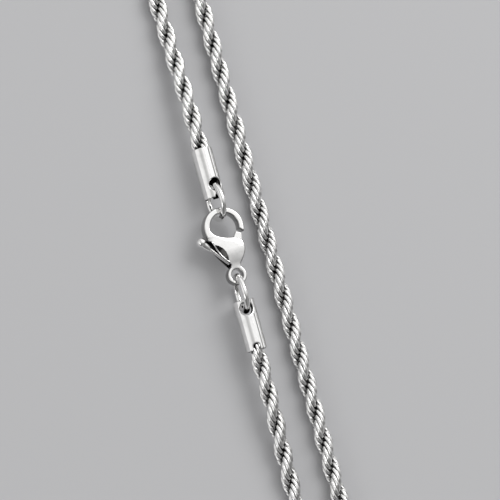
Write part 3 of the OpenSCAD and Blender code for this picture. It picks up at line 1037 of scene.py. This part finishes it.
# Front cheek: the curve of its slender edge, the cut behind that edge, the dish and the lip
FRONT_EDGE = ((-2.74, 6.31), (-2.2, 4.6), (-1.5, 3.2), (-0.5, 2.0))
FRONT_CUT = ((-5.0, 5.0), (-2.0, 0.9), (-0.72, 1.6))
FRONT_CUT_END = (-3.4, 6.6)
FRONT_CUT_HALF = 1.0
FRONT_CUT_OVERLAP = 0.05
DISH_R = 4.476
DISH_AT = (-3.84, 3.05)
DISH_RISE = 3.2
DISH_STRETCH = 1.28
DISH_WAY = (0.46, -0.888, 0.0)
LIP_R = 0.11
LIP_SIDES = 10
LIP_STEPS = 16
LIP_SINKS = (0.12, 0.05, 0.0)

# Painted shade on the casting: on its sides, by how far a face looks aside, and the tolerances of its
# recesses
SIDE_SHADE = 0.7
UNSHADED_Z = 0.93
SHADED_Z = 0.72
NEAR = 0.01
LIP_NEAR = 0.02
LIP_MARKS = 5


class NECKLACE_OT_clasp(bpy.types.Operator):
    """Cast the clasp's hook, body and eye in one piece, and cut its slot and thumb scoop"""

    bl_idname = "necklace.clasp"
    bl_label = "Clasp Body"
    bl_options = {"REGISTER", "UNDO"}

    def slot_outlines(self, at):
        """The slot's room for the boss, the gate and the arm of the lever."""
        arm_room = corners(at, ARM_ROOM_HEAD)
        for aside, along in ARM_ROOM_SIDES:
            corner = at.arm_root + aside * at.arm_side + along * at.arm_way
            arm_room.append((corner.x, corner.y))
        arm_room += corners(at, ARM_ROOM_FOOT)
        return circle(at.pivot, SWING_R, SWING_STEP), corners(at, GATE_ROOM), arm_room

    def scoop(self, dish):
        """The long ball that cuts the dish."""
        mesh = bpy.data.meshes.new("scoop")
        bm = bmesh.new()
        bmesh.ops.create_uvsphere(bm, u_segments=128, v_segments=96, radius=DISH_R)
        bm.to_mesh(mesh)
        bm.free()
        mesh.transform(dish)
        return mesh

    def paint_recess_shade(self, mesh, slot_half, dish, lip):
        """Paint shade into the casting: its faces and lip stay bright, its sides darken by how far they look
        aside, and its dish and slot are fully shaded.
        """
        dulled = mesh.attributes.new("dulled", "FLOAT", "CORNER")
        to_dish = dish.inverted()
        marks = [p.lerp(q, step / LIP_MARKS) for p, q in zip(lip, lip[1:]) for step in range(LIP_MARKS)]
        sides = []
        for normal in mesh.vertex_normals:
            aside = (UNSHADED_Z - abs(normal.vector.z)) / (UNSHADED_Z - SHADED_Z)
            sides.append(SIDE_SHADE * min(max(aside, 0.0), 1.0))
        for face in mesh.polygons:
            middle = face.center
            on_lip = middle.z > slot_half and min((middle - mark).length for mark in marks) < LIP_R + LIP_NEAR
            in_dish = abs((to_dish @ middle).length - DISH_R) < NEAR
            in_slot = max(abs(mesh.vertices[point].co.z) for point in face.vertices) < slot_half + NEAR
            for corner in face.loop_indices:
                value = sides[mesh.loops[corner].vertex_index]
                # The dish and slot get full painted shade, the lip none
                if in_dish or in_slot:
                    value = 1.0
                elif on_lip:
                    value = 0.0
                dulled.data[corner].value = value

    def execute(self, context):
        places = necklace_places(context.scene)
        clasp = places.clasp
        at = clasp_marks(clasp)
        height = casting_height(clasp)
        plate = cast_plate("clasp", casting_outline(clasp, at), height, (clasp.edge, clasp.edge), CAST_STEP)
        body = new_object("clasp_work", plate)
        slot_half = clasp.slot_w / 2.0
        for number, outline in enumerate(self.slot_outlines(at)):
            boolean(body, prism(f"slot_{number}", outline, slot_half), "DIFFERENCE")
        # The front cheek is cut back to a slender edge, and dished for the thumb
        front_edge = bezier(*FRONT_EDGE, LIP_STEPS)
        front_cut = prism("front_cut", [*FRONT_CUT, *front_edge[::-1], FRONT_CUT_END], FRONT_CUT_HALF)
        front_z = slot_half + (FRONT_CUT_HALF - FRONT_CUT_OVERLAP)
        front_cut.transform(Matrix.Translation((0.0, 0.0, front_z)))
        boolean(body, front_cut, "DIFFERENCE")
        dish = Matrix.Translation((*DISH_AT, clasp.body_depth / 2.0 + DISH_RISE))
        dish @= Matrix.Scale(DISH_STRETCH, 4, Vector(DISH_WAY))
        boolean(body, self.scoop(dish), "DIFFERENCE")
        # A fine lip follows the slender edge, and runs out in the face at both ends
        lip = []
        for number, (x, y) in enumerate(front_edge):
            nearest = dish.inverted() @ Vector((x, y, 0.0))
            hollow = dish.translation.z - math.sqrt(DISH_R ** 2 - nearest.xy.length_squared)
            surface = min(hollow, float(height(np.array(x), np.array(y))))
            to_end = min(number, len(front_edge) - 1 - number, len(LIP_SINKS) - 1)
            lip.append(Vector((x, y, surface - LIP_SINKS[to_end])))
        boolean(body, wire("lip", lip, LIP_R, LIP_SIDES), "UNION")
        mesh = taken(body)
        self.paint_recess_shade(mesh, slot_half, dish, lip)
        place = on_chain(places, places.eye_y)
        material = silver(context.scene, "Clasp Silver", SHADED_RECESSES)
        finish_piece("clasp_casting", mesh, place, material, "clasp", ["clasp_body"])
        return {"FINISHED"}


# Lever: depths of its boss and arm as shares of the gate's, its arm's ends, and the neck of its ball
BOSS_SHARE = 0.97
ARM_SHARE = 0.8
GATE_EDGE = (0.12, 0.12)
GATE_STEP = 0.1
ARM_EDGE = (0.2, 0.2)
ARM_STEP = 0.06
ARM_SHORT = 1.1
ARM_FOOT = 0.45
ELBOW = 0.15
PIN_AIR = 0.04
PIN_STEP = 0.08
BORE_HALF = 2.0
BALL_A = (0.02, 2.2)
BALL_ROWS = 26
BALL_SIDES = 48
BALL_NECK = ((-0.9, 0.8), (-1.5, 0.66), (-2.1, 0.5), (-2.8, 0.34))


class NECKLACE_OT_lever(bpy.types.Operator):
    """Build the gate lever with its arm and thumb ball"""

    bl_idname = "necklace.lever"
    bl_label = "Clasp Lever"
    bl_options = {"REGISTER", "UNDO"}

    def execute(self, context):
        places = necklace_places(context.scene)
        clasp = places.clasp
        at = clasp_marks(clasp)
        half = clasp.slot_w / 2.0 - clasp.lever_air
        gate = cast_plate("gate", [evenly(corners(at, GATE), GATE_STEP)], half, GATE_EDGE, GATE_STEP)
        lever = new_object("lever_work", gate)
        boss = prism("boss", circle(at.pivot, clasp.boss_d / 2.0, PIN_STEP), BOSS_SHARE * half)
        boolean(lever, boss, "UNION")
        side = 0.5 * clasp.arm_w * at.arm_side
        end = at.ball - ARM_SHORT * clasp.ball_d * at.arm_way
        foot = at.arm_root - ARM_FOOT * at.arm_way
        elbow = at.arm_root + side + ELBOW * at.arm_way
        arm = corners(at, ARM_HEEL) + [(p.x, p.y) for p in (elbow, end + side, end - side, foot - side)]
        arm = cast_plate("arm", [evenly(arm, ARM_STEP)], ARM_SHARE * half, ARM_EDGE, ARM_STEP)
        boolean(lever, arm, "UNION")
        r = clasp.ball_d / 2.0
        profile = [(r * math.cos(a), r * math.sin(a)) for a in np.linspace(*BALL_A, BALL_ROWS)]
        profile += [(along * r, thick * r) for along, thick in BALL_NECK]
        ball = lathed("ball", profile, BALL_SIDES)
        turn = Matrix.Rotation(math.atan2(at.arm_way.y, at.arm_way.x), 4, "Z")
        ball.transform(Matrix.Translation((at.ball.x, at.ball.y, 0.0)) @ turn)
        boolean(lever, ball, "UNION")
        bore = prism("bore", circle(at.pivot, clasp.pin_d / 2.0 + PIN_AIR, PIN_STEP), BORE_HALF)
        boolean(lever, bore, "DIFFERENCE")
        place = on_chain(places, places.eye_y)
        material = silver(context.scene, "Lever Silver")
        finish_piece("lever_cast", taken(lever), place, material, "lever", ["clasp_lever"])
        return {"FINISHED"}


STEEL_ROUGHNESS = 0.22
ALONG_PIN = (1.0, 1.0, 0.1)


class NECKLACE_OT_steel(bpy.types.Operator):
    """Give the CAD's pivot pin and spring their steel"""

    bl_idname = "necklace.steel"
    bl_label = "Pin and Spring"
    bl_options = {"REGISTER", "UNDO"}

    def execute(self, context):
        finish = context.scene.necklace_finish
        for node, stretch in (("clasp_pin", ALONG_PIN), ("clasp_spring", EVEN)):
            name = node.replace("_", " ").title() + " Steel"
            material = metal(name, finish.steel, finish.tarnish, STEEL_ROUGHNESS, stretch)
            obj = bpy.data.objects[node]
            obj.data.materials.clear()
            obj.data.materials.append(material)
        return {"FINISHED"}


# Greys of the light tent from the left horizon, at 0, over the top to the right horizon, at 1
TENT_GREYS = {
    0.0: 1.0,
    0.1: 0.9,
    0.22: 0.55,
    0.36: 0.64,
    0.48: 1.0,
    0.92: 1.0,
    0.95: 0.05,
    0.965: 0.05,
    0.98: 1.0,
    1.0: 1.0,
}
# Strength of the light tent from its lower end to its middle
TENT_FADE = (-0.45, 0.05)
TENT_STRENGTH = (0.25, 1.0)

FLOOR_REACH = 3.0
FLOOR_ROUGHNESS = 0.9
SoftBox = namedtuple("SoftBox", "name place size power")
KEY_LIGHT = SoftBox("Key Light", (0.36, 0.3, 0.5), 0.42, 1.8)
FILL_LIGHT = SoftBox("Fill Light", (-0.45, -0.2, 0.28), 0.2, 0.25)


class NECKLACE_OT_stage(bpy.types.Operator):
    """Set up the pale floor, the soft light and the camera"""

    bl_idname = "necklace.stage"
    bl_label = "Stage"
    bl_options = {"REGISTER", "UNDO"}

    def soft_light(self, box):
        """A square soft box that faces the middle of the necklace."""
        light = bpy.data.lights.new(box.name, "AREA")
        light.shape = "SQUARE"
        light.size = box.size
        light.energy = box.power
        obj = new_object(box.name, light)
        obj.location = box.place
        obj.rotation_euler = (-Vector(box.place)).to_track_quat("-Z", "Y").to_euler()
        return obj

    def world(self, scene):
        """A light tent: white above and on the right, greyer on the left, and a dark gap low on the right."""
        world = bpy.data.worlds.new("Light Tent")
        scene.world = world
        world.use_nodes = True
        world.node_tree.nodes.clear()
        add = node_adder(world.node_tree)
        towards = add("ShaderNodeSeparateXYZ", {"Vector": add("ShaderNodeTexCoord")["Generated"]})
        across = ranged(add, towards["X"], (-1.0, 1.0))
        fade = add("ShaderNodeValToRGB", {"Fac": across}, name="Tent Greys")["Color"]
        elements = world.node_tree.nodes["Tent Greys"].color_ramp.elements
        elements[0].position = 0.0
        elements[1].position = 1.0
        for position in TENT_GREYS:
            if 0.0 < position < 1.0:
                elements.new(position)
        for element, grey in zip(elements, TENT_GREYS.values()):
            element.color = (grey, grey, grey, 1.0)
        strength = ranged(add, towards["Y"], TENT_FADE, TENT_STRENGTH)
        light = add("ShaderNodeBackground", {"Color": fade, "Strength": strength})["Background"]
        add("ShaderNodeOutputWorld", {"Surface": light})

    def floor(self, scene):
        """A large pale floor."""
        mesh = bpy.data.meshes.new("Floor")
        ends = (-FLOOR_REACH, FLOOR_REACH)
        mesh.from_pydata([(x, y, 0.0) for y in ends for x in ends], [], [(0, 1, 3, 2)])
        material = bpy.data.materials.new("Floor Paper")
        material.use_nodes = True
        shader = material.node_tree.nodes["Principled BSDF"]
        shader.inputs["Base Color"].default_value = (*scene.necklace_stage.floor, 1.0)
        shader.inputs["Roughness"].default_value = FLOOR_ROUGHNESS
        mesh.materials.append(material)
        return new_object("Floor", mesh)

    def camera(self, scene, places):
        """A long lens that looks at the clasp from the angle of the photograph."""
        stage = scene.necklace_stage
        away = Vector((-math.tan(stage.yaw), -math.tan(stage.tilt), 1.0)).normalized()
        chain = Vector((0.0, 1.0, 0.0))
        upright = (chain - chain.dot(away) * away).normalized()
        level = upright.cross(away)
        up = math.cos(stage.roll) * upright + math.sin(stage.roll) * level
        right = up.cross(away)
        middle = Vector((places.left_x, 0.0, places.chain_z)) * MM
        target = middle + stage.centre_right * right - stage.centre_down * up
        data = bpy.data.cameras.new("Camera")
        data.lens = stage.lens
        data.clip_start = 0.01
        data.clip_end = 20.0
        camera = new_object("Camera", data)
        distance = stage.frame_width / data.sensor_width * stage.lens
        turn = Matrix((right, up, away)).transposed().to_4x4()
        camera.matrix_world = Matrix.Translation(target + distance * away) @ turn
        scene.camera = camera
        return camera

    def execute(self, context):
        scene = context.scene
        places = necklace_places(scene)
        scene.view_settings.view_transform = "Standard"
        self.world(scene)
        floor = self.floor(scene)
        key = self.soft_light(KEY_LIGHT)
        fill = self.soft_light(FILL_LIGHT)
        self.camera(scene, places)
        return {"FINISHED"}


class NECKLACE_PT_build(bpy.types.Panel):
    """The steps that build the necklace"""

    bl_label = "Rope Chain Necklace"
    bl_idname = "NECKLACE_PT_build"
    bl_space_type = "VIEW_3D"
    bl_region_type = "UI"
    bl_category = "Necklace"

    def draw(self, context):
        for operator in OPERATORS:
            self.layout.operator(operator.bl_idname)
        for attribute in PROPERTY_GROUPS:
            group = getattr(context.scene, attribute)
            box = self.layout.box()
            box.label(text=type(group).__name__)
            for prop in group.bl_rna.properties:
                if prop.identifier not in {"rna_type", "name"}:
                    box.prop(group, prop.identifier)


OPERATORS = (
    NECKLACE_OT_rope,
    NECKLACE_OT_caps,
    NECKLACE_OT_rings,
    NECKLACE_OT_clasp,
    NECKLACE_OT_lever,
    NECKLACE_OT_steel,
    NECKLACE_OT_stage,
)


def register():
    """Register the property groups, the operators and the panel."""
    for attribute, group in PROPERTY_GROUPS.items():
        bpy.utils.register_class(group)
        setattr(bpy.types.Scene, attribute, bpy.props.PointerProperty(type=group))
    for operator in OPERATORS:
        bpy.utils.register_class(operator)
    bpy.utils.register_class(NECKLACE_PT_build)


def unregister():
    """Take everything that register added away again."""
    bpy.utils.unregister_class(NECKLACE_PT_build)
    for operator in reversed(OPERATORS):
        bpy.utils.unregister_class(operator)
    for attribute, group in reversed(PROPERTY_GROUPS.items()):
        delattr(bpy.types.Scene, attribute)
        bpy.utils.unregister_class(group)


def main():
    """Build the necklace."""
    register()
    bpy.ops.necklace.rope()
    bpy.ops.necklace.caps()
    bpy.ops.necklace.rings()
    bpy.ops.necklace.clasp()
    bpy.ops.necklace.lever()
    bpy.ops.necklace.steel()
    bpy.ops.necklace.stage()


if __name__ == "__main__":
    main()
